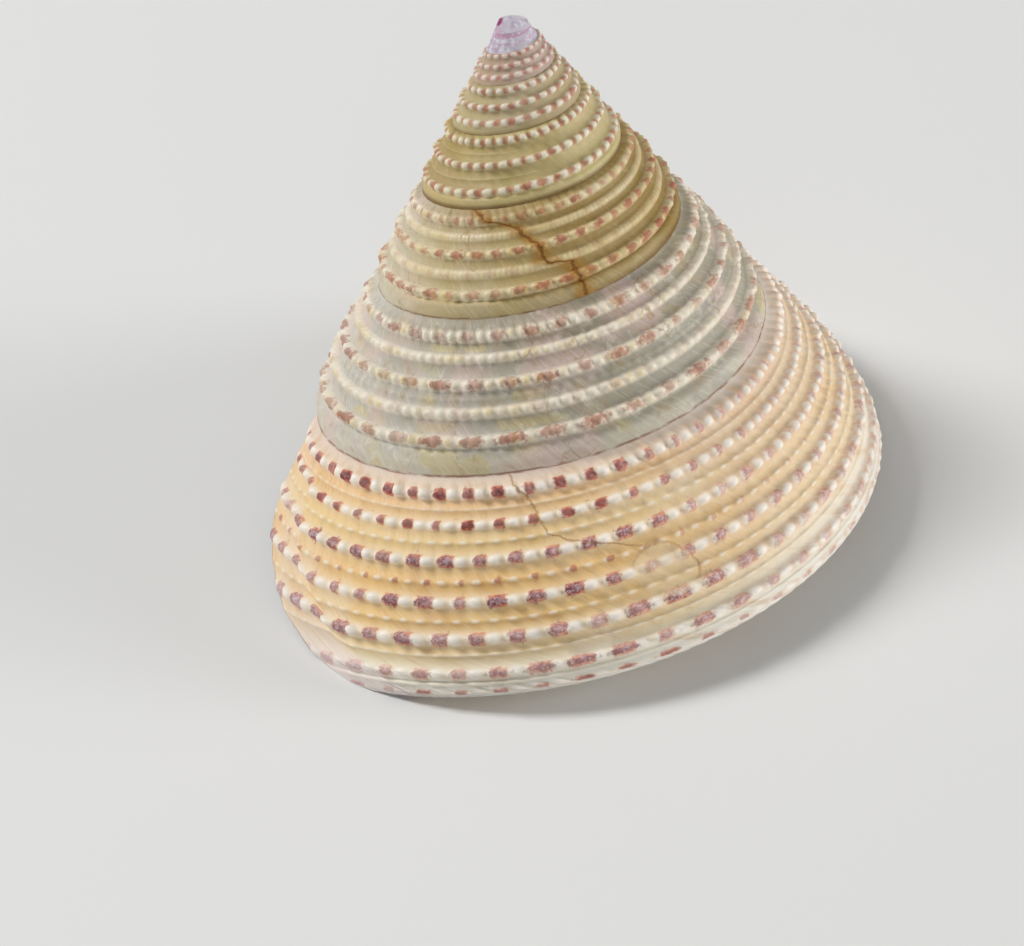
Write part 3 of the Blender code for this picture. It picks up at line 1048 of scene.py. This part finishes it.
def paintEnds(at, colour):
    # The last growth before the lip is thin and whitish
    zone = smooth(at.column + (at.coarse - 0.5) * 0.012, lipColumn - beads["scar"], lipColumn - 0.035)
    lipTone = blend("lip", "lipLine", smooth(at.growthLines, 0.4, 0.6))
    colour = blend(colour, lipTone, zone * at.side * (0.12 + 0.4 * smooth(at.across, 0.6, 0.9)))

    # The worn apex is lilac mother of pearl, with a pink swirl and a magenta notch
    swirl = noiseAt(join(at.across * 3.2 + at.turn * 0.8, at.turn * 0.7), 1, 3)
    nacre = blend("nacre", "nacrePink", smooth(swirl, 0.48, 0.62))
    nacre = blend(nacre, "nacreGrey", smooth(at.fine, 0.5, 0.66) * 0.6)
    nacre = blend(nacre, "nacreSpark", smooth(at.speckle, 0.54, 0.66) * 0.6)
    notch = distance((at.column - 1.33) / 0.1, (at.across - 0.3) / 0.35)
    nacre = blend(nacre, "notch", smooth(notch, 1.2, 0.5))
    return blend(colour, nacre, at.apex * at.side)


def paintUnderside(at, colour):     # the base and the hollow
    tone = blend("base", "paleBase", smooth(at.coarse, 0.4, 0.6))
    tone = blend(tone, "baseCord", at.relief * 0.5)
    pick = dice(at.spot.math("FLOOR"), at.nearest)
    spot = distance((at.spot.math("FRACT") - 0.5) / 0.24, (at.cord - at.nearest) / 0.3)
    spot = smooth(spot + (at.fine - 0.5) * 0.9, 1.3, 0.6) * smooth(pick, 0.25, 0.5)
    tone = blend(tone, "baseSpot", spot * smooth(at.across, 1.75, 1.6) * 0.7)
    colour = blend(colour, tone, at.base)
    pearl = blend("pearl", "pearlPink", patchy(at.point, 420, 2, 0.4, 0.6))
    pearl = blend(pearl, "pearlGreen", patchy(at.point, 300, 2, 0.52, 0.68) * 0.6)
    return blend(colour, pearl, at.inside)


def paintShell():
    material = bpy.data.materials.new("shellPaint")
    material.use_nodes = True
    tree = material.node_tree
    shader = tree.nodes["Principled BSDF"]
    at = readSurface(Wire(tree))
    readBeads(at)
    readSpots(at)
    colour = paintSpots(at, paintCords(at, paintGround(at)))
    colour = paintCracks(at, paintSeams(at, colour))
    colour = paintUnderside(at, paintEnds(at, colour))

    # Smoother on the beads, on the apex and inside
    rough = paint["roughness"] - 0.2 * at.white * at.side * (1 - 0.9 * at.spotShown * at.strength)
    rough = rough - 0.14 * at.inside - 0.2 * at.apex * at.side
    height = at.growthLines * 0.55 + at.fine * 0.3 + at.speckle * 0.15 + at.streaks * 0.3
    height = height * (1 - 0.8 * at.inside)
    height = height - at.crack * 1.1 - at.scarLine * 0.8 - at.hairs * 0.4 - at.chipEdge * 0.6
    depth = {"Strength": paint["grooveStrength"], "Distance": paint["grooveDepth"]}
    normal = height.make("Bump", {}, {**depth, "Height": height})
    tree.links.new(colour.socket, shader.inputs["Base Color"])
    tree.links.new(rough.socket, shader.inputs["Roughness"])
    tree.links.new(normal.socket, shader.inputs["Normal"])
    shader.inputs["Specular IOR Level"].default_value = paint["specular"]
    return material


def plainMaterial(name, colour, roughness):
    material = bpy.data.materials.new(name)
    material.use_nodes = True
    shader = material.node_tree.nodes["Principled BSDF"]
    shader.inputs["Base Color"].default_value = (*colour, 1)
    shader.inputs["Roughness"].default_value = roughness
    return material


shell.data.materials.append(paintShell())
print("shell painted")

studio = {
    "floorSize": 3.0,           # metres
    "floorColour": (0.80, 0.80, 0.79),
    "floorRoughness": 0.6,
    "worldStrength": 0.20,
    "backgroundStrength": 0.80, # how bright the world itself is seen
    "lampDistance": 0.8,
    "lampHeight": 0.01,         # of the point over the floor that the lamps light
    "lamps": {                  # watts, width in metres, and direction: right, up and towards the camera
        "key": (4.6, 0.24, (-0.85, 0.72, 0.3)),
        "side": (4.0, 0.32, (1.0, 0.2, 0.34)),
        "fill": (0.6, 0.6, (0.1, -0.3, 1.0)),
    },
    "camera": (0.03551525, 0.08477109, 0.07892161),
    "aim": (0.00410658, 0.00299688, 0.00488391),
    "roll": math.radians(10.26),
    "lens": 103.40,             # millimetres, on this sensor
    "sensor": 36,
    "clip": 0.005,
}


def makeFloor():
    bm = bmesh.new()
    bmesh.ops.create_grid(bm, x_segments=1, y_segments=1, size=studio["floorSize"] / 2)
    data = bpy.data.meshes.new("floor")
    bm.to_mesh(data)
    bm.free()
    low = min(vertex.co.z for vertex in shell.data.vertices)
    for vertex in data.vertices:
        vertex.co.z = low
    floor = bpy.data.objects.new("floor", data)
    bpy.context.scene.collection.objects.link(floor)
    floor.data.materials.append(plainMaterial("floor", studio["floorColour"], studio["floorRoughness"]))


def makeCamera():
    camera = bpy.data.objects.new("camera", bpy.data.cameras.new("camera"))
    bpy.context.scene.collection.objects.link(camera)
    back = (Vector(studio["camera"]) - Vector(studio["aim"])).normalized()
    right = Vector((0, 0, 1)).cross(back).normalized()
    up = back.cross(right)
    up = up * math.cos(studio["roll"]) + right * math.sin(studio["roll"])
    right = up.cross(back)
    turn = Matrix((right, up, back)).transposed()
    camera.matrix_world = Matrix.Translation(studio["camera"]) @ turn.to_4x4()
    camera.data.sensor_width = studio["sensor"]
    camera.data.lens = studio["lens"]
    camera.data.clip_start = studio["clip"]
    bpy.context.scene.camera = camera


def makeLamp(name, energy, size, towards):
    lamp = bpy.data.objects.new(name, bpy.data.lights.new(name, "AREA"))
    lamp.data.energy = energy
    lamp.data.size = size
    bpy.context.scene.collection.objects.link(lamp)
    towards = (bpy.context.scene.camera.matrix_world.to_3x3() @ Vector(towards)).normalized()
    lamp.location = Vector((0, 0, studio["lampHeight"])) + towards * studio["lampDistance"]
    lamp.rotation_euler = towards.to_track_quat("Z", "Y").to_euler()


def makeWorld():
    world = bpy.data.worlds.new("studio")
    world.use_nodes = True
    background = world.node_tree.nodes["Background"]
    background.inputs["Color"].default_value = (1, 1, 1, 1)
    start = Wire(world.node_tree)
    seen = start.make("LightPath", {}, {}, "Is Camera Ray")
    for ray in ("Is Glossy Ray", "Is Transmission Ray"):
        seen = seen.math("MAXIMUM", start.make("LightPath", {}, {}, ray))
    strength = studio["worldStrength"] + seen * (studio["backgroundStrength"] - studio["worldStrength"])
    world.node_tree.links.new(strength.socket, background.inputs["Strength"])
    bpy.context.scene.world = world


makeFloor()
makeCamera()
makeWorld()
for lampName, (energy, size, towards) in studio["lamps"].items():
    makeLamp(lampName, energy, size, towards)
bpy.context.scene.view_settings.view_transform = "Standard"
